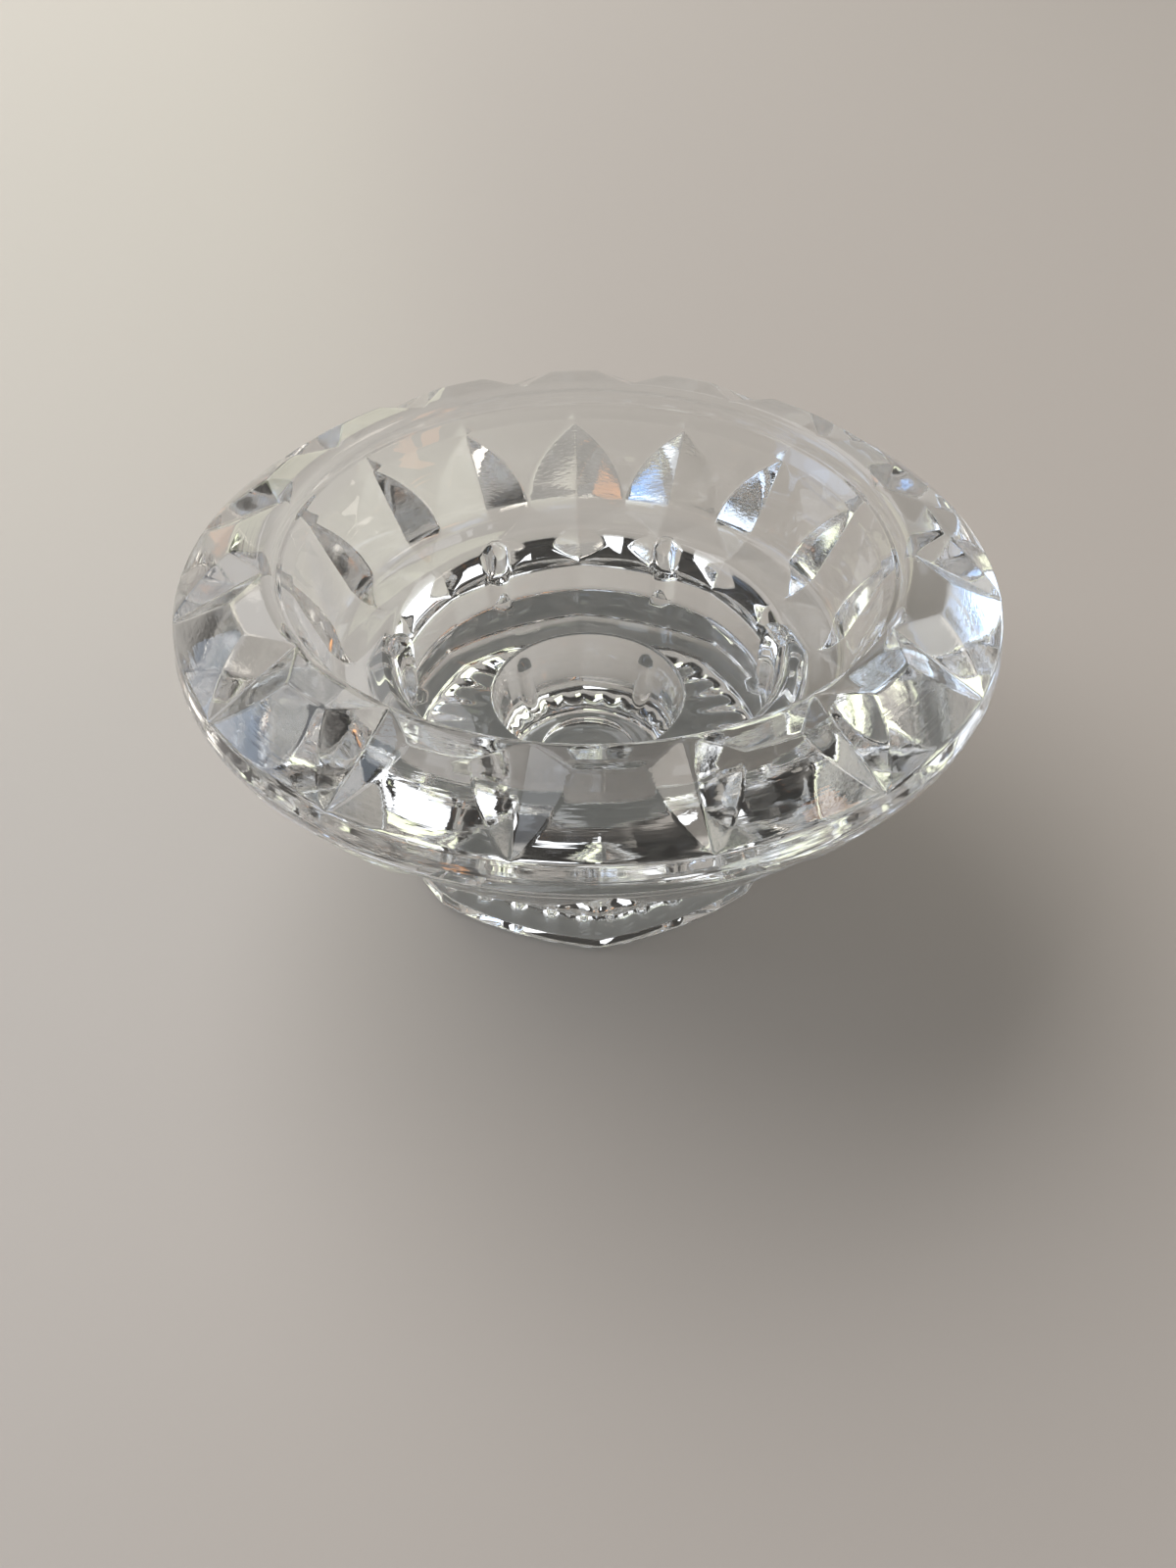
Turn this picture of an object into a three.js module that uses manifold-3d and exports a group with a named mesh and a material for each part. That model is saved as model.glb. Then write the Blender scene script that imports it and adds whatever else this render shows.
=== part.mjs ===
// Cut glass candle holder: one solid piece of clear pressed and cut glass.
// A thick collar carries a bowl, a tealight cup and a taper socket, stepped one inside the next,
// on a short fluted stem. Its foot is hollowed underneath, so that it stands on a narrow flat ring.
// Low ribs in the cup and socket grip a candle.
// Millimetres, +Z up, origin at the middle of the ring it stands on, one petal facing -Y.

import * as THREE from 'three';
import { mergeVertices } from 'three/addons/utils/BufferGeometryUtils.js';
import Module from 'manifold-3d';

const wasm = await Module();
wasm.setup();

// Pattern: petals and leaf cuts share one number, the broader flutes of the stem have their own
const CUTS_AROUND = 16;
const FLUTES_AROUND = 8;
const FACETS_PER_CUT = 4;
const CURVE_STEPS = 4;

// Stepped hollow, from the bottom up. The socket ends in a bowl with a shallow disc in its floor.
const BASE_THICKNESS = 7.2;
const SOCKET_RADIUS = 10.9;
const SOCKET_DEPTH = 9.6;
const SOCKET_TAPER = 0.7;
const SOCKET_BOWL_HEIGHT = 5.3;
const SOCKET_FLOOR_RADIUS = 5.9;
const SOCKET_DISC_DEPTH = 0.3;
const CUP_RADIUS = 21.1;
const CUP_DEPTH = 7.6;
const CUP_TAPER = 0.7;
const CUP_FILLET = 0.8;
const CUP_EDGE_ROUND = 1.6;
const LEDGE_WIDTH = 7.1;
const BOWL_DEPTH = 12.0;
const BOWL_FLARE = 2.2;
const BOWL_FILLET = 1.6;
const SOFT_EDGE = 0.25;

// Round ribs on the walls of the cup and of the socket, with domed ends
const CUP_RIBS = 6;
const CUP_RIB_WIDTH = 2.9;
const CUP_RIB_CLEARANCE = 38.6;
const CUP_RIB_RISE = 1.15;
const SOCKET_RIBS = 4;
const SOCKET_RIB_WIDTH = 2.9;
const SOCKET_RIB_PROUD = 0.8;
const SOCKET_RIB_DROP = 1.0;
const RIB_FACETS = 16;

// Collar: the bowl's mouth is bevelled up to a narrow land. A flat crown stands above it, and
// sloping petals run from the crown down to the band.
const LIP_WIDTH = 0.9;
const LIP_BEVEL_HEIGHT = 1.5;
const LIP_LAND = 0.5;
const CROWN_OUT = 2.1;
const CROWN_WIDTH = 2.7;
const CROWN_RISE = 2.1;
const PETAL_BULGE = 0.18;
const COLLAR_WIDTH = 11.4;
const BAND_DROP = 2.2;
const BAND_HEIGHT = 4.6;
const BAND_TUCK = 0.8;
const NECK_INSET = 3.6;
const NECK_DROP = 6.0;
const UNDERSIDE_SHELF = 5.0;
const UNDERSIDE_BELLY_IN = 4.1;
const UNDERSIDE_BELLY_DROP = 7.6;

// Stem and foot, pressed hollow into flutes. One of their ridges stands in line with the front petal.
const FOOT_RADIUS = 24.7;
const FOOT_CHAMFER = 0.6;
const FOOT_RING_WIDTH = 2.5;
const FOOT_HOLLOW_DEPTH = 3.0;
const FOOT_HOLLOW_SLOPE = 2.5;
const WAIST_RADIUS = 23.2;
const WAIST_Z = 8.0;
const FLUTE_DEPTH = 0.8;

// Every cut is made with the same wide V edge
const MITRE_ANGLE = 146;

// Mitre cuts between the petals: one straight pass from the crown down to the band
const MITRE_START_OUT = 1.8;
const MITRE_START_DROP = 0.2;
const MITRE_END_IN = 0.5;
const MITRE_END_DROP = 0.1;

// Leaf cuts under the petals: pointed at the band and again at the neck
const LEAF_TIP_IN = 1.2;
const LEAF_TIP_DROP = 0.2;
const LEAF_FOOT_OUT = 2.2;
const LEAF_FOOT_RISE = 0.45;

// Cutting tool
const CUTTER_REACH = 14;
const CUTTER_OVERRUN = 2;

const STEP_ANGLE = (2 * Math.PI) / CUTS_AROUND;
const CUP_FLOOR_Z = BASE_THICKNESS + SOCKET_DEPTH;
const LEDGE_Z = CUP_FLOOR_Z + CUP_DEPTH;
const LIP_Z = LEDGE_Z + BOWL_DEPTH;
const CROWN_Z = LIP_Z + CROWN_RISE;
const BAND_TOP_Z = LIP_Z - BAND_DROP;
const BAND_BOTTOM_Z = BAND_TOP_Z - BAND_HEIGHT;
const NECK_Z = LEDGE_Z - NECK_DROP;
const BOWL_FLOOR_RADIUS = CUP_RADIUS + LEDGE_WIDTH;
const LIP_RADIUS = BOWL_FLOOR_RADIUS + BOWL_FLARE + LIP_WIDTH;
const CROWN_START_RADIUS = LIP_RADIUS + CROWN_OUT;
const CROWN_RADIUS = CROWN_START_RADIUS + CROWN_WIDTH;
const COLLAR_RADIUS = LIP_RADIUS + COLLAR_WIDTH;
const NECK_RADIUS = BOWL_FLOOR_RADIUS - NECK_INSET;

function solidFrom(geometry) {
  geometry.deleteAttribute('normal');
  geometry.deleteAttribute('uv');
  const merged = mergeVertices(geometry, 1e-4);
  const corners = merged.index.array;
  const kept = [];
  for (let i = 0; i < corners.length; i += 3) {
    const [a, b, c] = [corners[i], corners[i + 1], corners[i + 2]];
    if (a !== b && b !== c && c !== a) {
      kept.push(a, b, c);
    }
  }
  return new wasm.Manifold(new wasm.Mesh({
    numProp: 3,
    vertProperties: new Float32Array(merged.attributes.position.array),
    triVerts: new Uint32Array(kept),
  }));
}

// A closed outline in (radius, z) turned round the Z axis.
function turned(outline) {
  const geometry = new THREE.LatheGeometry(outline.getPoints(CURVE_STEPS), CUTS_AROUND * FACETS_PER_CUT);
  geometry.rotateX(Math.PI / 2);
  return geometry;
}

// Control point of a curve that bulges by "sagitta" to the right of the chord from a to b.
function bulgePoint(a, b, sagitta) {
  const along = new THREE.Vector2().subVectors(b, a).normalize();
  const outward = new THREE.Vector2(along.y, -along.x);
  return new THREE.Vector2().addVectors(a, b).multiplyScalar(0.5).addScaledVector(outward, 2 * sagitta);
}

// Outside of the collar and bowl, from the neck out round the rim and back to the axis.
function collarSolid() {
  const bandMiddleZ = (BAND_TOP_Z + BAND_BOTTOM_Z) / 2;
  const neck = new THREE.Vector2(NECK_RADIUS, NECK_Z);
  const bandFoot = new THREE.Vector2(COLLAR_RADIUS - BAND_TUCK, BAND_BOTTOM_Z);
  const bandTop = new THREE.Vector2(COLLAR_RADIUS - BAND_TUCK / 2, BAND_TOP_Z);
  const crown = new THREE.Vector2(CROWN_RADIUS, CROWN_Z);
  const petal = bulgePoint(bandTop, crown, PETAL_BULGE);
  const outline = new THREE.Path();
  outline.moveTo(0, NECK_Z);
  outline.lineTo(neck.x, neck.y);
  outline.bezierCurveTo(neck.x + UNDERSIDE_SHELF, neck.y, COLLAR_RADIUS - UNDERSIDE_BELLY_IN,
    BAND_BOTTOM_Z - UNDERSIDE_BELLY_DROP, bandFoot.x, bandFoot.y);
  outline.quadraticCurveTo(COLLAR_RADIUS, BAND_BOTTOM_Z + BAND_TUCK, COLLAR_RADIUS, bandMiddleZ);
  outline.lineTo(bandTop.x, bandTop.y);
  outline.quadraticCurveTo(petal.x, petal.y, crown.x, crown.y);
  outline.lineTo(CROWN_START_RADIUS, CROWN_Z);
  outline.quadraticCurveTo(LIP_RADIUS + LIP_LAND, CROWN_Z, LIP_RADIUS + LIP_LAND, LIP_Z);
  outline.lineTo(0, LIP_Z);
  return solidFrom(turned(outline));
}

// Stem and foot. The turned shape is pressed in between the ridges to make the flutes.
function stemSolid() {
  const hollowRadius = FOOT_RADIUS - FOOT_CHAMFER - FOOT_RING_WIDTH;
  const outline = new THREE.Path();
  outline.moveTo(0, FOOT_HOLLOW_DEPTH);
  outline.quadraticCurveTo(hollowRadius - FOOT_HOLLOW_SLOPE, FOOT_HOLLOW_DEPTH, hollowRadius, 0);
  outline.lineTo(FOOT_RADIUS - FOOT_CHAMFER, 0);
  outline.lineTo(FOOT_RADIUS, FOOT_CHAMFER);
  outline.quadraticCurveTo(WAIST_RADIUS, WAIST_Z, NECK_RADIUS, NECK_Z + SOFT_EDGE);
  outline.lineTo(0, NECK_Z + SOFT_EDGE);
  const geometry = turned(outline);
  const place = geometry.attributes.position;
  for (let i = 0; i < place.count; i += 1) {
    const radius = Math.hypot(place.getX(i), place.getY(i));
    const turns = (Math.atan2(place.getX(i), -place.getY(i)) * FLUTES_AROUND) / (2 * Math.PI);
    const fromRidge = Math.abs(turns - Math.round(turns));
    const pressed = FLUTE_DEPTH * (1 - (1 - 2 * fromRidge) ** 2);
    if (radius > FLUTE_DEPTH) {
      place.setX(i, place.getX(i) * (1 - pressed / radius));
      place.setY(i, place.getY(i) * (1 - pressed / radius));
    }
  }
  return solidFrom(geometry);
}

// The stepped hollow: taper socket at the bottom, tealight cup, then the open bowl.
function hollowSolid() {
  const discZ = BASE_THICKNESS + SOCKET_DISC_DEPTH;
  const socketWall = new THREE.Vector2(SOCKET_RADIUS - SOCKET_TAPER, BASE_THICKNESS + SOCKET_BOWL_HEIGHT);
  const cupFloorRadius = CUP_RADIUS - CUP_TAPER;
  const mouthRadius = LIP_RADIUS - LIP_WIDTH;
  const outline = new THREE.Path();
  outline.moveTo(0, BASE_THICKNESS);
  outline.lineTo(SOCKET_FLOOR_RADIUS - SOCKET_DISC_DEPTH, BASE_THICKNESS);
  outline.lineTo(SOCKET_FLOOR_RADIUS, discZ);
  outline.quadraticCurveTo(socketWall.x - SOCKET_TAPER, discZ, socketWall.x, socketWall.y);
  outline.lineTo(SOCKET_RADIUS, CUP_FLOOR_Z - SOFT_EDGE);
  outline.lineTo(SOCKET_RADIUS + SOFT_EDGE, CUP_FLOOR_Z);
  outline.lineTo(cupFloorRadius - CUP_FILLET, CUP_FLOOR_Z);
  outline.quadraticCurveTo(cupFloorRadius, CUP_FLOOR_Z, cupFloorRadius, CUP_FLOOR_Z + CUP_FILLET);
  outline.lineTo(CUP_RADIUS, LEDGE_Z - CUP_EDGE_ROUND);
  outline.quadraticCurveTo(CUP_RADIUS, LEDGE_Z, CUP_RADIUS + CUP_EDGE_ROUND, LEDGE_Z);
  outline.lineTo(BOWL_FLOOR_RADIUS - BOWL_FILLET, LEDGE_Z);
  outline.quadraticCurveTo(BOWL_FLOOR_RADIUS, LEDGE_Z, BOWL_FLOOR_RADIUS, LEDGE_Z + BOWL_FILLET);
  outline.lineTo(mouthRadius, LIP_Z - LIP_BEVEL_HEIGHT);
  outline.lineTo(LIP_RADIUS, LIP_Z + SOFT_EDGE);
  outline.lineTo(LIP_RADIUS, LIP_Z + 2 * CROWN_RISE);
  outline.lineTo(0, LIP_Z + 2 * CROWN_RISE);
  return solidFrom(turned(outline));
}

// A round bar with domed ends whose axis runs between two (radius, z) points in the plane of -Y.
function ribGeometry(width, foot, top) {
  const geometry = new THREE.CapsuleGeometry(width / 2, foot.distanceTo(top), CURVE_STEPS, RIB_FACETS);
  const axis = new THREE.Vector3(0, foot.x - top.x, top.y - foot.y).normalize();
  const turn = new THREE.Quaternion().setFromUnitVectors(new THREE.Vector3(0, 1, 0), axis);
  geometry.applyQuaternion(turn);
  geometry.translate(0, -(foot.x + top.x) / 2, (foot.y + top.y) / 2);
  return geometry;
}

// Ribs evenly spaced round the axis, with the front petal facing the gap between two of them.
function withRibs(solid, rib, count) {
  let result = solid;
  for (let i = 0; i < count; i += 1) {
    const copy = rib.clone();
    copy.rotateZ(((2 * i + 1) * Math.PI) / count);
    result = result.add(solidFrom(copy));
  }
  return result;
}

function cupRib() {
  const out = (CUP_RIB_CLEARANCE + CUP_RIB_WIDTH) / 2;
  const foot = new THREE.Vector2(out, CUP_FLOOR_Z);
  const top = new THREE.Vector2(out, LEDGE_Z + CUP_RIB_RISE - CUP_RIB_WIDTH / 2);
  return ribGeometry(CUP_RIB_WIDTH, foot, top);
}

// The socket's ribs lean with its wall.
function socketRib() {
  const lean = SOCKET_TAPER / (SOCKET_DEPTH - SOCKET_BOWL_HEIGHT);
  const topZ = CUP_FLOOR_Z - SOCKET_RIB_DROP - SOCKET_RIB_WIDTH / 2;
  const footZ = BASE_THICKNESS + SOCKET_RIB_WIDTH / 2;
  const axisRadius = (z) => SOCKET_RADIUS - lean * (CUP_FLOOR_Z - z) + SOCKET_RIB_WIDTH / 2 - SOCKET_RIB_PROUD;
  const foot = new THREE.Vector2(axisRadius(footZ), footZ);
  const top = new THREE.Vector2(axisRadius(topZ), topZ);
  return ribGeometry(SOCKET_RIB_WIDTH, foot, top);
}

// A V-shaped cutter: its edge follows the line through two (radius, z) points in the plane of -Y,
// overruns both, and its flanks open on the side given by "outward".
function veeCutter(from, to, outward) {
  const along = new THREE.Vector2().subVectors(to, from).normalize();
  const start = from.clone().addScaledVector(along, -CUTTER_OVERRUN);
  const length = from.distanceTo(to) + 2 * CUTTER_OVERRUN;
  const flank = CUTTER_REACH * Math.tan(THREE.MathUtils.degToRad(MITRE_ANGLE / 2));
  const section = new THREE.Shape();
  section.moveTo(0, 0);
  section.lineTo(flank, CUTTER_REACH);
  section.lineTo(-flank, CUTTER_REACH);
  section.closePath();
  const geometry = new THREE.ExtrudeGeometry(section, { depth: length, bevelEnabled: false });
  const axis = new THREE.Vector3(0, -along.x, along.y);
  const open = new THREE.Vector3(0, -outward.x, outward.y);
  open.addScaledVector(axis, -open.dot(axis)).normalize();
  const side = new THREE.Vector3().crossVectors(open, axis);
  const place = new THREE.Matrix4().makeBasis(side, open, axis);
  place.setPosition(0, -start.x, start.y);
  geometry.applyMatrix4(place);
  return geometry;
}

// One cutter repeated at every cut position round the axis, starting at the given angle.
function cutAround(solid, cutter, startAngle) {
  let result = solid;
  for (let i = 0; i < CUTS_AROUND; i += 1) {
    const copy = cutter.clone();
    copy.rotateZ(startAngle + i * STEP_ANGLE);
    result = result.subtract(solidFrom(copy));
  }
  return result;
}

function holderSolid() {
  const start = new THREE.Vector2(LIP_RADIUS + MITRE_START_OUT, CROWN_Z - MITRE_START_DROP);
  const end = new THREE.Vector2(COLLAR_RADIUS - MITRE_END_IN, BAND_TOP_Z - MITRE_END_DROP);
  const leafFoot = new THREE.Vector2(NECK_RADIUS + LEAF_FOOT_OUT, NECK_Z + LEAF_FOOT_RISE);
  const leafTip = new THREE.Vector2(COLLAR_RADIUS - LEAF_TIP_IN, BAND_BOTTOM_Z - LEAF_TIP_DROP);
  const up = new THREE.Vector2(0, 1);
  const downAndOut = new THREE.Vector2(1, -1);
  let solid = collarSolid().add(stemSolid()).subtract(hollowSolid());
  solid = withRibs(solid, cupRib(), CUP_RIBS);
  solid = withRibs(solid, socketRib(), SOCKET_RIBS);
  solid = cutAround(solid, veeCutter(start, end, up), STEP_ANGLE / 2);
  return cutAround(solid, veeCutter(leafFoot, leafTip, downAndOut), 0);
}

function meshFrom(name, solid, look) {
  const data = solid.getMesh();
  const geometry = new THREE.BufferGeometry();
  geometry.setAttribute('position', new THREE.BufferAttribute(new Float32Array(data.vertProperties), 3));
  geometry.setIndex(new THREE.BufferAttribute(new Uint32Array(data.triVerts), 1));
  geometry.computeVertexNormals();
  const mesh = new THREE.Mesh(geometry, new THREE.MeshStandardMaterial(look));
  mesh.name = name;
  return mesh;
}

const holder = new THREE.Group();
holder.name = 'cut_glass_candle_holder';
holder.add(meshFrom('holder_glass', holderSolid(), { color: 0xdfe9ea, roughness: 0.05, metalness: 0 }));

export default holder;
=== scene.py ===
"""Cut glass candle holder: the looks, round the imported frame. Metres, +Z up, a petal faces -Y."""

import math

import bpy
import numpy as np
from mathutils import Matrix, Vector


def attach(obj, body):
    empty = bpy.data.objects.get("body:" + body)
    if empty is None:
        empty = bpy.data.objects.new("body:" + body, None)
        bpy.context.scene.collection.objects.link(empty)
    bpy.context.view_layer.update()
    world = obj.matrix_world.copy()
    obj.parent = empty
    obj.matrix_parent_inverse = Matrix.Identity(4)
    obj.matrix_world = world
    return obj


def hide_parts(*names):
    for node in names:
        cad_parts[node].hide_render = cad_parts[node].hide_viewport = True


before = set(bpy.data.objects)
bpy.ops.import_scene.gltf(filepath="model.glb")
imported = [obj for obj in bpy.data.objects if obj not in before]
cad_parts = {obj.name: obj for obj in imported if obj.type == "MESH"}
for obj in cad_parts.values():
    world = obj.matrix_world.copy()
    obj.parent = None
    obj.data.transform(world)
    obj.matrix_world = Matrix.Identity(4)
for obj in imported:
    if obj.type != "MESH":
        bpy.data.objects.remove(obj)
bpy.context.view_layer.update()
scene = bpy.context.scene


# Camera
# The photo looks down into the bowl from close by, a little to the left of the front petal.
MM = 0.001
CAMERA_TURN = math.radians(-2.7)
CAMERA_PITCH = math.radians(44.35)
CAMERA_BACK = 104.4 * MM
CAMERA_HEIGHT = 103.9 * MM
SENSOR_WIDTH, FOCAL_LENGTH = 36, 36

lens = bpy.data.cameras.new("camera")
lens.sensor_fit = "HORIZONTAL"
lens.sensor_width = SENSOR_WIDTH
lens.lens = FOCAL_LENGTH
lens.clip_start = 5 * MM
camera = bpy.data.objects.new("camera", lens)
aside, before = CAMERA_BACK * math.sin(CAMERA_TURN), CAMERA_BACK * math.cos(CAMERA_TURN)
camera.location = (aside, -before, CAMERA_HEIGHT)
camera.rotation_euler = (math.pi / 2 - CAMERA_PITCH, 0, CAMERA_TURN)
scene.collection.objects.link(camera)
scene.camera = camera


# Glass body
# The holder is one piece of pressed glass. The mould gave its stepped hollow, the ribs that grip a
# candle and the flutes of the stem. A V-edged wheel then cut the mitres between the petals and the
# leaves under them, and polishing left every edge very slightly rounded.
CUTS = 16
HALF_STEP = math.pi / CUTS

# Distances from the axis (R) and heights over the table (Z), in millimetres.
COLLAR_R, CROWN_R, LIP_R, MOUTH_R, BOWL_R = 42.7, 36.1, 31.3, 30.4, 28.2
CUP_R, CUP_FLOOR_R, SOCKET_R, SOCKET_WALL_R, SOCKET_FLOOR_R = 21.1, 20.4, 10.9, 10.2, 5.9
NECK_R, WAIST_R, FOOT_R, RING_R = 24.6, 23.2, 24.7, 21.6
CROWN_Z, LIP_Z, BAND_TOP_Z, BAND_FOOT_Z, LEDGE_Z = 38.5, 36.4, 34.2, 29.6, 24.4
NECK_Z, CUP_Z, SOCKET_WALL_Z, WAIST_Z, SOCKET_Z = 18.4, 16.8, 12.5, 8.0, 7.2
BAND_MID_Z = (BAND_TOP_Z + BAND_FOOT_Z) / 2

# Small steps, leans and rounds, and the control points of the long curves, in millimetres.
HOLLOW, HOLLOW_SLOPE, FOOT_EDGE = 3.0, 2.5, 0.6
BAND_FOOT_LEAN, BAND_TOP_LEAN = 0.8, 0.4
CROWN_LAND, LIP_LAND, LIP_BEVEL = 2.1, 0.5, 1.5
LEDGE_ROUND, CUP_ROUND, SOCKET_BOWL, DISC_STEP, WALL_LEAN = 1.6, 0.8, 0.7, 0.3, 0.1
UNDERSIDE_BEND = ((29.6, 18.2), (38.6, 22.0))
PETAL_BEND = (39.35, 36.65)

# A cut is a V whose bottom runs along a line given by two points (R, Z).
MITRE_LINE = ((33.1, 38.3), (42.2, 34.1))
LEAF_LINE = ((26.8, 18.85), (41.5, 29.4))
CUT_SLOPE = 1 / math.tan(math.radians(73))
CUT_EDGE_ROUND, CUT_BOTTOM_ROUND = 0.09, 0.05

# Ribs: number, first angle, half width, then distance from the axis and height of the middle of
# the domed top, and how much they lean in per millimetre down.
CUP_RIBS = (6, 30, 1.45, 20.75, 24.1, 0)
SOCKET_RIBS = (4, 45, 1.45, 11.15, 14.35, 0.163)
RIB_FILLET = 0.25

# The flutes start on the underside of the foot, are full at FLUTE_FULL_R, and fade above the neck.
# The rays in the hollow under the foot start and are full at their radii, and fade at the ring.
FLUTES, FLUTE_DEPTH, FLUTE_RIDGE_ROUND = 8, 0.8, 0.015
FLUTE_START_R, FLUTE_FULL_R, FLUTE_FADE = 16, 22, 2.2
RAYS, RAY_DEPTH, RAY_START_R, RAY_FULL_R, RAY_FADE = 32, 0.45, 14, 18, 1.2

# The mesh: points of a cut move towards CORE, inside the collar. END_GAP is from the middle of a
# petal or a mitre to the next column, EDGE_GAP from a cut's edge to the next, and COLUMN_PARTS
# columns run from the one to the other. Rows nearer the axis than LEAST_R space their columns as
# that radius does. A point within TOUCH of a height counts as on it.
CORE = (33.5, 30.5)
END_GAP, EDGE_GAP, COLUMN_PARTS, LEAST_R = 0.2, 0.28, 5, 20
TOUCH = 0.01


def line(a, b, n):
    """n points from a towards b, b left out."""
    t = np.arange(n)[:, None] / n
    return np.array(a) * (1 - t) + np.array(b) * t


def curve(a, c, b, n):
    """n points on the quadratic curve from a to b with control point c, b left out."""
    t = np.arange(n)[:, None] / n
    return np.array(a) * (1 - t) ** 2 + 2 * np.array(c) * t * (1 - t) + np.array(b) * t ** 2


def long_curve(a, c, d, b, n):
    """n points on the cubic curve from a to b with control points c and d, b left out."""
    t = np.arange(n)[:, None] / n
    s = 1 - t
    first_half = np.array(a) * s ** 3 + 3 * np.array(c) * s * s * t
    return first_half + 3 * np.array(d) * s * t * t + np.array(b) * t ** 3


def eased(points, corners):
    """The outline with each listed corner (r, z, reach) replaced by a small round of that reach."""
    out = [tuple(p) for p in points]
    round_parts = 5
    for r, z, reach in corners:
        k = min(range(len(out)), key=lambda i: math.hypot(out[i][0] - r, out[i][1] - z))
        corner = np.array(out[k])
        before = k
        while before > 0 and math.dist(out[before], corner) < reach:
            before -= 1
        after = k
        while after < len(out) - 1 and math.dist(out[after], corner) < reach:
            after += 1
        a = corner + (np.array(out[before]) - corner) * reach / math.dist(out[before], corner)
        b = corner + (np.array(out[after]) - corner) * reach / math.dist(out[after], corner)
        round_points = [tuple(p) for p in curve(a, corner, b, round_parts)] + [tuple(b)]
        out = out[:before + 1] + round_points + out[after:]
    return np.array(out)


def outline():
    """Half section (R, Z): from the hollow under the foot up the outside, and down to the socket floor."""
    foot_edge, foot_side, neck = (FOOT_R - FOOT_EDGE, 0), (FOOT_R, FOOT_EDGE), (NECK_R, NECK_Z)
    band_foot, band_mid = (COLLAR_R - BAND_FOOT_LEAN, BAND_FOOT_Z), (COLLAR_R, BAND_MID_Z)
    band_bend, band_top = (COLLAR_R, BAND_FOOT_Z + BAND_FOOT_LEAN), (COLLAR_R - BAND_TOP_LEAN, BAND_TOP_Z)
    crown, crown_end = (CROWN_R, CROWN_Z), (LIP_R + CROWN_LAND, CROWN_Z)
    land, lip, mouth = (LIP_R + LIP_LAND, LIP_Z), (LIP_R, LIP_Z), (MOUTH_R, LIP_Z - LIP_BEVEL)
    bowl_foot, ledge = (BOWL_R, LEDGE_Z + LEDGE_ROUND), (BOWL_R - LEDGE_ROUND, LEDGE_Z)
    ledge_end, cup_mouth = (CUP_R + LEDGE_ROUND, LEDGE_Z), (CUP_R - WALL_LEAN, LEDGE_Z - LEDGE_ROUND)
    cup_foot, cup_floor = (CUP_FLOOR_R, CUP_Z + CUP_ROUND), (CUP_FLOOR_R - CUP_ROUND, CUP_Z)
    socket_mouth, socket_wall = (SOCKET_R + WALL_LEAN, CUP_Z), (SOCKET_WALL_R, SOCKET_WALL_Z)
    socket_bend = (SOCKET_WALL_R - SOCKET_BOWL, SOCKET_Z + DISC_STEP)
    disc_rim, disc_edge = (SOCKET_FLOOR_R, SOCKET_Z + DISC_STEP), (SOCKET_FLOOR_R - DISC_STEP, SOCKET_Z)
    parts = [
        curve((0, HOLLOW), (RING_R - HOLLOW_SLOPE, HOLLOW), (RING_R, 0), 16),
        line((RING_R, 0), foot_edge, 2),
        line(foot_edge, foot_side, 2),
        curve(foot_side, (WAIST_R, WAIST_Z), neck, 17),
        long_curve(neck, *UNDERSIDE_BEND, band_foot, 34),
        curve(band_foot, band_bend, band_mid, 8),
        line(band_mid, band_top, 6),
        curve(band_top, PETAL_BEND, crown, 28),
        line(crown, crown_end, 10),
        curve(crown_end, (LIP_R + LIP_LAND, CROWN_Z), land, 9),
        line(land, lip, 2),
        line(lip, mouth, 3),
        line(mouth, bowl_foot, 7),
        curve(bowl_foot, (BOWL_R, LEDGE_Z), ledge, 6),
        line(ledge, ledge_end, 3),
        curve(ledge_end, (CUP_R, LEDGE_Z), cup_mouth, 12),
        line(cup_mouth, cup_foot, 7),
        curve(cup_foot, (CUP_FLOOR_R, CUP_Z), cup_floor, 6),
        line(cup_floor, socket_mouth, 5),
        line(socket_mouth, socket_wall, 9),
        curve(socket_wall, socket_bend, disc_rim, 12),
        line(disc_rim, disc_edge, 2),
        line(disc_edge, (0, SOCKET_Z), 3),
        np.array([(0, SOCKET_Z)]),
    ]
    corners = [
        (RING_R, 0, 0.3), (*foot_edge, 0.2), (*foot_side, 0.3), (*neck, 0.6), (*band_foot, 0.35),
        (*band_top, 0.4), (*crown, 0.4), (*lip, 0.12), (*mouth, 0.15), (*land, 0.15), (*socket_mouth, 0.35),
    ]
    return eased(np.vstack(parts), corners)


def above(points, u, cut, up):
    """How far points at angle u from a cut's plane stand on its open side, less the V's flank."""
    (r0, z0), (r1, z1) = cut
    along = np.array((r1 - r0, z1 - z0)) / math.dist((r0, z0), (r1, z1))
    opened = np.array((-along[1], along[0])) * (1 if up else -1)
    r, z = points[..., 0], points[..., 1]
    flank = r * np.sin(u) * CUT_SLOPE
    return (r * np.cos(u) - r0) * opened[0] + (z - z0) * opened[1] - flank, opened


def depth(points, inward, u, cut, up):
    """How far points move along "inward" to the flank of the cut; negative where it misses them."""
    over, opened = above(points, u, cut, up)
    down = -(inward[..., 0] * np.cos(u) * opened[0] + inward[..., 1] * opened[1])
    least_rate = 0.25
    return over / np.maximum(down + inward[..., 0] * np.sin(u) * CUT_SLOPE, least_rate)


def softened(a, b, reach):
    """The larger of a and b, blended where they are closer than reach."""
    near = np.maximum(reach - np.abs(a - b), 0) / reach
    return np.maximum(a, b) + near * near * reach / 4


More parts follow.
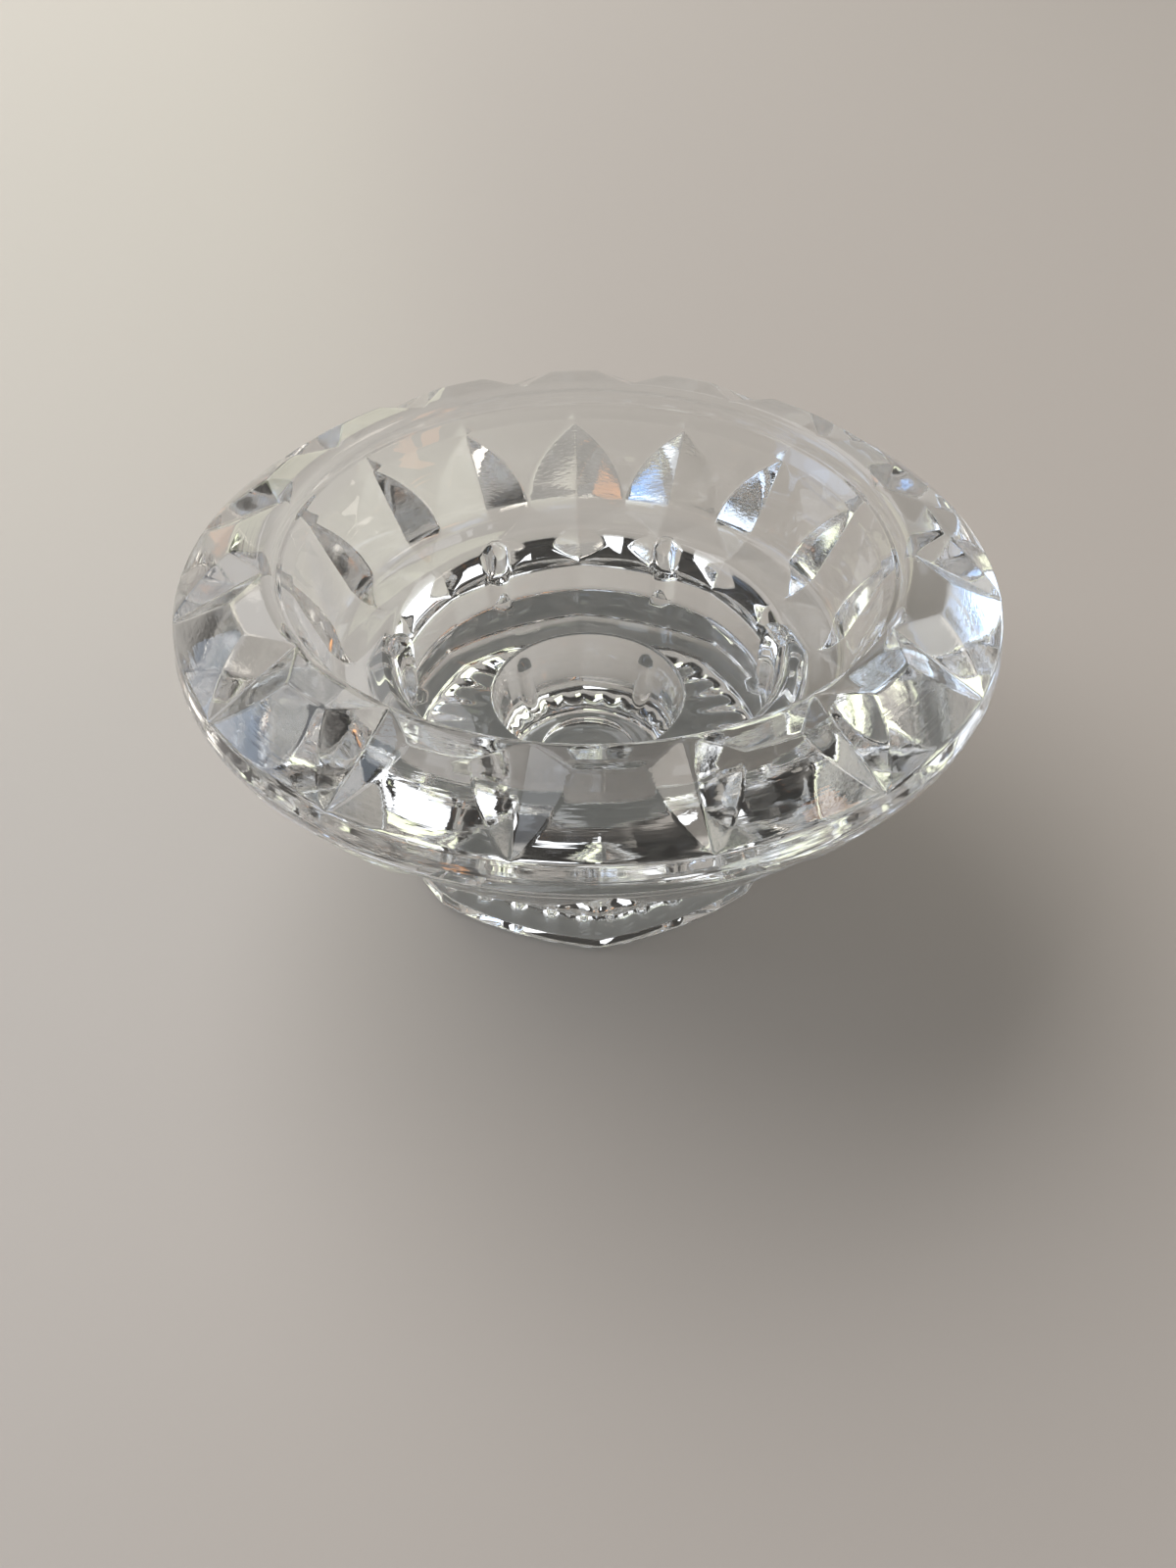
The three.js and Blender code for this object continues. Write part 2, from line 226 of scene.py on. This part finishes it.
def rib_height(points, turn, ways, ribs):
    """How far points move along "ways" to reach the nearest upright round bar with a domed top."""
    number, first, wide, out, top, lean = ribs
    spacing = 2 * math.pi / number
    u = (turn - math.radians(first) + spacing / 2) % spacing - spacing / 2
    s, h = points[..., 0] * np.sin(u), points[..., 1] - top
    a = points[..., 0] * np.cos(u) - out - lean * h
    way_s, way_h = ways[..., 0] * np.sin(u), ways[..., 1]
    way_a = ways[..., 0] * np.cos(u) - lean * way_h

    def reach(ww, pw, pp):
        part = pw ** 2 - ww * (pp - wide ** 2)
        least_ww = 0.05
        return (-pw + np.sign(part) * np.sqrt(np.abs(part))) / np.maximum(ww, least_ww)

    bar = reach(way_a ** 2 + way_s ** 2, a * way_a + s * way_s, a * a + s * s)
    dome = reach(way_a ** 2 + way_s ** 2 + way_h ** 2, a * way_a + s * way_s + h * way_h,
                 a * a + s * s + h * h)
    return np.where(h + bar * way_h < 0, bar, dome)


def cut_edge(points, cut, up):
    """For each outline point, the angle from the cut's plane at which the flank runs out."""
    tries = 400
    angles = np.linspace(0, HALF_STEP, tries)
    over = above(points[:, None, :], angles[None, :], cut, up)[0]
    return np.where(over[:, 0] > 0, angles[np.clip((over > 0).sum(axis=1) - 1, 0, None)], 0)


def column_angles(rows, travel, mitre, leaf):
    """The angle of each column in each row. The edge of a cut runs along one column of each side."""
    known = (mitre > 0) | (leaf > 0)
    border = np.where(mitre > 0, HALF_STEP - mitre, leaf)
    first, last = np.argmax(known), len(known) - 1 - np.argmax(known[::-1])
    lead_in, lead_out, far = 6, 4, 1e3
    ends = np.concatenate([[-far, travel[first] - lead_in], travel[known], [travel[last] + lead_out, far]])
    values = np.concatenate([[HALF_STEP / 2] * 2, border[known], [HALF_STEP / 2] * 2])
    border = np.interp(travel, ends, values)
    radius = np.maximum(rows[:, 0], LEAST_R)
    fine, soft = END_GAP / radius, EDGE_GAP / radius
    least = fine + 1.5 * soft
    border = np.clip(border, least, HALF_STEP - least)
    steps = np.arange(COLUMN_PARTS) / (COLUMN_PARTS - 1)
    inner = [fine + (border - soft - fine) * t for t in steps]
    outer = [border + soft + (HALF_STEP - fine - border - soft) * t for t in steps]
    middle, mitre_line = np.zeros(len(rows)), np.full(len(rows), HALF_STEP)
    half = np.stack([middle, *inner, border, *outer, mitre_line], axis=1)
    petal = np.concatenate([half, 2 * HALF_STEP - half[:, -2:0:-1]], axis=1)
    return np.concatenate([petal + 2 * HALF_STEP * k for k in range(CUTS)], axis=1)


def skin_faces(rings, columns):
    """Faces of a closed skin: quads between the rings, and a fan to a middle point at each end."""
    faces = []
    for i in range(rings - 1):
        for j in range(columns):
            k = (j + 1) % columns
            faces.append((i * columns + j, i * columns + k, (i + 1) * columns + k, (i + 1) * columns + j))
    last, foot_point, floor_point = (rings - 1) * columns, rings * columns, rings * columns + 1
    for j in range(columns):
        k = (j + 1) % columns
        faces.append((foot_point, k, j))
        faces.append((floor_point, last + j, last + k))
    return faces


def holder_mesh():
    """Vertices and faces, and for each vertex how far it lies in a cut and whether it is on a petal."""
    rows = outline()
    step = np.linalg.norm(np.diff(rows, axis=0), axis=1)
    travel = np.concatenate([[0], np.cumsum(step)])
    outside = travel < travel[np.argmin(np.hypot(rows[:, 0] - LIP_R, rows[:, 1] - LIP_Z))]
    is_top = outside & (rows[:, 1] > BAND_MID_Z)
    is_under = outside & ~is_top & (rows[:, 1] > NECK_Z - TOUCH)
    mitre = np.where(is_top, cut_edge(rows, MITRE_LINE, True), 0)
    leaf = np.where(is_under, cut_edge(rows, LEAF_LINE, False), 0)
    turn = column_angles(rows, travel, mitre, leaf)
    columns = turn.shape[1]

    # The cuts: a mitre between two petals on top, and a leaf under each petal.
    bottom = (CUT_BOTTOM_ROUND / np.maximum(rows[:, 0], LEAST_R))[:, None]
    from_petal = np.abs((turn + HALF_STEP) % (2 * HALF_STEP) - HALF_STEP)
    u_leaf = np.sqrt(from_petal ** 2 + bottom ** 2)
    u_mitre = np.sqrt((HALF_STEP - from_petal) ** 2 + bottom ** 2)
    inward = np.array(CORE) - rows
    inward /= np.linalg.norm(inward, axis=1)[:, None]
    place = np.repeat(rows[:, None, :], columns, axis=1)
    way = np.repeat(inward[:, None, :], columns, axis=1)
    top = softened(depth(place, way, u_mitre, MITRE_LINE, True), 0, CUT_EDGE_ROUND)
    under = softened(depth(place, way, u_leaf, LEAF_LINE, False), 0, CUT_EDGE_ROUND)
    moved = np.where(is_top[:, None], top, np.where(is_under[:, None], under, 0))
    place = place + way * moved[..., None]

    # The ribs stand on the walls of the cup and of the socket.
    slope = np.gradient(rows, axis=0)
    out_of_wall = np.stack([slope[:, 1], -slope[:, 0]], axis=1)
    out_of_wall /= np.linalg.norm(slope, axis=1)[:, None]
    out_of_wall = np.repeat(out_of_wall[:, None, :], columns, axis=1)
    walls = ((CUP_RIBS, CUP_Z, LEDGE_Z, CUP_R + LEDGE_ROUND), (SOCKET_RIBS, SOCKET_Z, CUP_Z, SOCKET_R))
    for ribs, low, high, wide in walls:
        in_height = (rows[:, 1] > low + TOUCH) & (rows[:, 1] < high + TOUCH)
        on_wall = ~outside & in_height & (rows[:, 0] < wide)
        height = softened(rib_height(place, turn, out_of_wall, ribs), 0, RIB_FILLET)
        place += out_of_wall * np.where(on_wall[:, None], height, 0)[..., None]

    # The flutes press the stem in between its ridges.
    half_flute = math.pi / FLUTES
    across = np.abs((turn + half_flute) % (2 * half_flute) - half_flute) / half_flute
    across = np.sqrt(across ** 2 + FLUTE_RIDGE_ROUND ** 2)
    stem_end = travel[np.argmin(np.hypot(rows[:, 0] - NECK_R, rows[:, 1] - NECK_Z))]
    fade_in = np.clip((rows[:, 0] - FLUTE_START_R) / (FLUTE_FULL_R - FLUTE_START_R), 0, 1)
    fade_out = np.clip(1 - (travel - stem_end) / FLUTE_FADE, 0, 1)
    fade = np.where(outside, np.where(travel < stem_end, fade_in, fade_out), 0)
    place[..., 0] -= FLUTE_DEPTH * (1 - (1 - across) ** 2) * fade[:, None]

    # Soft rays, a little uneven, in the hollow under the foot glitter through the floor of the cup.
    fade_in = np.clip((rows[:, 0] - RAY_START_R) / (RAY_FULL_R - RAY_START_R), 0, 1)
    fade = np.where(outside, fade_in * np.clip((RING_R - rows[:, 0]) / RAY_FADE, 0, 1), 0)
    swing, uneven = 0.5 * np.sin(3 * turn), 0.8 + 0.2 * np.cos(7 * turn)
    ray = (0.5 + 0.5 * np.cos(RAYS * turn + swing)) * uneven
    place[..., 1] += fade[:, None] * RAY_DEPTH * ray

    x, y = place[..., 0] * np.sin(turn), -place[..., 0] * np.cos(turn)
    skin = np.stack([x, y, place[..., 1]], axis=2)[1:-1].reshape(-1, 3)
    verts = np.vstack([skin, [[0, 0, rows[0, 1]], [0, 0, rows[-1, 1]]]]) * MM
    full_depth, petal_inner_r = 0.15, 33
    in_cut = np.clip(moved / full_depth, 0, 1)[1:-1].reshape(-1)
    on_petal = np.repeat((is_top & (rows[:, 0] > petal_inner_r))[1:-1], columns).astype(float)
    ends = [0, 0]
    faces = skin_faces(len(rows) - 2, columns)
    return verts, faces, np.append(in_cut, ends), np.append(on_petal, ends)


def add_node(tree, kind, inputs=None, **settings):
    """A new node with its settings; an input that is given a socket is linked to it."""
    made = tree.nodes.new(kind)
    for name, value in settings.items():
        setattr(made, name, value)
    for name, value in (inputs or {}).items():
        if isinstance(value, bpy.types.NodeSocket):
            tree.links.new(value, made.inputs[name])
        else:
            made.inputs[name].default_value = value
    return made


def linear(code):
    """sRGB hex colour as linear RGBA."""
    parts = [int(code[i:i + 2], 16) / 255 for i in (0, 2, 4)]
    return (*[c / 12.92 if c <= 0.04045 else ((c + 0.055) / 1.055) ** 2.4 for c in parts], 1)


# Clear crystal glass, pressed, cut and polished: bright and colourless, so it shows the lamps and
# the room bent in every cut. The wheel left faint lines round the petals and the flanks of the
# cuts, which blur what is seen in them. They are drawn about 0.4 mm apart, which may be coarser
# than the real ones, so that they show. The whole surface waves very slightly, as pressed glass does.
CRYSTAL_TINT, SHADOW_TINT, CRYSTAL_IOR = "FBFDFD", "E6E9EA", 1.54
LINES_PER_MM, PATCHES_PER_MM, WAVES_PER_MM = 2.6, 0.16, 0.09
LINE_DEPTH, WAVE_DEPTH = 0.05 * MM, 0.3 * MM
RUBBED_ROUGHNESS = 0.06


def crystal():
    """The material of the glass, worked where the mesh says that it was cut or lies on a petal."""
    material = bpy.data.materials.new("clear_crystal")
    material.use_nodes = True
    tree = material.node_tree
    glass = tree.nodes["Principled BSDF"]
    glass.inputs["IOR"].default_value = CRYSTAL_IOR
    glass.inputs["Transmission Weight"].default_value = 1
    glass.inputs["Base Color"].default_value = linear(CRYSTAL_TINT)

    # Lines round the axis: noise that reads only the distance from the axis and the height.
    where = add_node(tree, "ShaderNodeTexCoord").outputs["Object"]
    split = add_node(tree, "ShaderNodeSeparateXYZ", {"Vector": where})
    flat = add_node(tree, "ShaderNodeCombineXYZ", {"X": split.outputs["X"], "Y": split.outputs["Y"]})
    radius = add_node(tree, "ShaderNodeVectorMath", {0: flat.outputs[0]}, operation="LENGTH")
    radius = radius.outputs["Value"]
    rings = add_node(tree, "ShaderNodeCombineXYZ", {"X": radius, "Y": split.outputs["Z"]}).outputs[0]
    lines = add_node(tree, "ShaderNodeTexNoise", {"Vector": rings, "Scale": LINES_PER_MM / MM,
                                                  "Detail": 3.0}).outputs["Fac"]
    patches = add_node(tree, "ShaderNodeTexNoise", {"Vector": where, "Scale": PATCHES_PER_MM / MM,
                                                    "Detail": 2.0}).outputs["Fac"]

    # Only worked glass is rubbed, in patches, and the lines are in the rubbed patches.
    in_cut = add_node(tree, "ShaderNodeAttribute", attribute_name="ground").outputs["Fac"]
    on_petal = add_node(tree, "ShaderNodeAttribute", attribute_name="crown").outputs["Fac"]
    worked = add_node(tree, "ShaderNodeMath", {0: in_cut, 1: on_petal}, operation="MAXIMUM").outputs[0]
    rubbed = add_node(tree, "ShaderNodeMath", {0: worked, 1: patches}, operation="MULTIPLY").outputs[0]
    streaks = add_node(tree, "ShaderNodeMath", {0: lines, 1: rubbed}, operation="MULTIPLY").outputs[0]
    rough = add_node(tree, "ShaderNodeMapRange", {"Value": rubbed, "To Min": 0.0,
                                                  "To Max": RUBBED_ROUGHNESS})
    tree.links.new(rough.outputs[0], glass.inputs["Roughness"])

    ripple = add_node(tree, "ShaderNodeTexNoise", {"Vector": where, "Scale": WAVES_PER_MM / MM,
                                                   "Detail": 1.0}).outputs["Fac"]
    wave = add_node(tree, "ShaderNodeBump", {"Height": ripple, "Strength": 0.4, "Distance": WAVE_DEPTH})
    bump = add_node(tree, "ShaderNodeBump", {"Height": streaks, "Strength": 0.5, "Distance": LINE_DEPTH,
                                             "Normal": wave.outputs["Normal"]})
    tree.links.new(bump.outputs["Normal"], glass.inputs["Normal"])

    # For shadow rays the glass is a plain filter, so its shadow is soft and has no bright spots.
    clear = add_node(tree, "ShaderNodeBsdfTransparent", {"Color": linear(SHADOW_TINT)})
    in_shadow = add_node(tree, "ShaderNodeLightPath").outputs["Is Shadow Ray"]
    mixed = add_node(tree, "ShaderNodeMixShader", {0: in_shadow, 1: glass.outputs[0],
                                                   2: clear.outputs[0]})
    tree.links.new(mixed.outputs[0], tree.nodes["Material Output"].inputs["Surface"])
    return material


verts, faces, in_cut, on_petal = holder_mesh()
mesh = bpy.data.meshes.new("cut_crystal_body")
mesh.from_pydata(verts.tolist(), [], faces)
mesh.update()
mesh.attributes.new("ground", "FLOAT", "POINT").data.foreach_set("value", in_cut)
mesh.attributes.new("crown", "FLOAT", "POINT").data.foreach_set("value", on_petal)
mesh.polygons.foreach_set("use_smooth", [True] * len(mesh.polygons))
mesh.materials.append(crystal())
body = bpy.data.objects.new("cut_crystal_body", mesh)
scene.collection.objects.link(body)
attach(body, "root")
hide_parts("holder_glass")


# Floor
# A plain pale table top, a round disc that reaches well past the photo's view. It lies a hair
# lower than the glass, so that the two surfaces don't touch.
FLOOR_R, FLOOR_SIDES, FLOOR_DROP = 1.5, 128, 0.05 * MM
rim = [2 * math.pi * i / FLOOR_SIDES for i in range(FLOOR_SIDES)]
rim_points = [(FLOOR_R * math.cos(a), FLOOR_R * math.sin(a), 0) for a in rim]
floor_mesh = bpy.data.meshes.new("floor")
floor_mesh.from_pydata(rim_points, [], [range(FLOOR_SIDES)])

# Painted board: an even warm grey with a soft sheen.
floor_look = bpy.data.materials.new("pale_table")
floor_look.use_nodes = True
table = floor_look.node_tree.nodes["Principled BSDF"]
table.inputs["Base Color"].default_value = linear("BCB4AB")
table.inputs["Roughness"].default_value = 0.45
floor_mesh.materials.append(floor_look)
floor = bpy.data.objects.new("floor", floor_mesh)
floor.location = (0, 0, -FLOOR_DROP)
scene.collection.objects.link(floor)


# Light
# Soft light comes from behind on the left. Four panes there, faintly tinted, are what the cuts
# show, with a small lamp on the right and weak warm and cool ones for coloured glints. The widest
# lamp lights the table and isn't seen in the glass. The room is pale low down and dark above.
LAMP_AIM = Vector((0, 0, 20 * MM))


def soft_lamp(name, place, wide, tall, watts, code, in_glass=True):
    """An area lamp turned to the holder. With in_glass off, neither glass nor sheen shows it."""
    lamp = bpy.data.lights.new(name, "AREA")
    lamp.shape = "RECTANGLE"
    lamp.size = wide
    lamp.size_y = tall
    lamp.energy = watts
    lamp.color = linear(code)[:3]
    stand = bpy.data.objects.new(name, lamp)
    stand.location = place
    stand.rotation_euler = (LAMP_AIM - Vector(place)).to_track_quat("-Z", "Y").to_euler()
    stand.visible_glossy = in_glass
    stand.visible_transmission = in_glass
    scene.collection.objects.link(stand)


# Name, place, width and height in metres, watts and colour.
soft_lamp("pane_top_left", (-1.15, 0.35, 1.15), 0.8, 0.7, 3.2, "F0F6FF")
soft_lamp("pane_top_right", (-0.45, 0.95, 1.15), 0.8, 0.7, 3.2, "F8F9FC")
soft_lamp("pane_low_left", (-1.25, 0.4, 0.5), 0.8, 0.45, 1.8, "CFE4FF")
soft_lamp("pane_low_right", (-0.5, 1.05, 0.5), 0.8, 0.45, 1.8, "F1F5D2")
soft_lamp("table_fill", (-0.8, 0.65, 0.9), 1.8, 1.5, 25, "F8F9FC", in_glass=False)
soft_lamp("side_panel", (0.8, 0.1, 0.75), 0.3, 0.3, 1.0, "FFF6EA")
soft_lamp("warm_panel", (0.75, -0.35, 0.55), 0.12, 0.35, 0.3, "FFB070")
soft_lamp("cool_panel", (-0.9, 0.1, 0.35), 0.4, 0.4, 0.6, "9CC4FF")

# The room's two levels, and the rise of the line of sight between which it turns from pale to dark.
ROOM_PALE, ROOM_DARK, PALE_UP_TO, DARK_FROM = 0.6, 0.06, 0.3, 0.5
world = bpy.data.worlds.new("room")
scene.world = world
world.use_nodes = True
room = world.node_tree.nodes["Background"]
sight = add_node(world.node_tree, "ShaderNodeTexCoord").outputs["Generated"]
rise = add_node(world.node_tree, "ShaderNodeSeparateXYZ", {"Vector": sight}).outputs["Z"]
shades = {"Value": rise, "From Min": PALE_UP_TO, "From Max": DARK_FROM,
          "To Min": ROOM_PALE, "To Max": ROOM_DARK}
level = add_node(world.node_tree, "ShaderNodeMapRange", shades, interpolation_type="SMOOTHSTEP")
room.inputs["Color"].default_value = linear("D8D2CB")
world.node_tree.links.new(level.outputs[0], room.inputs["Strength"])

scene.view_settings.view_transform = "Standard"
# Light passes through many walls of glass, so it may bend and bounce more often than usual.
GLASS_BOUNCES = 24
scene.cycles.max_bounces = GLASS_BOUNCES
scene.cycles.transmission_bounces = GLASS_BOUNCES
scene.cycles.glossy_bounces = GLASS_BOUNCES
scene.cycles.caustics_refractive = False
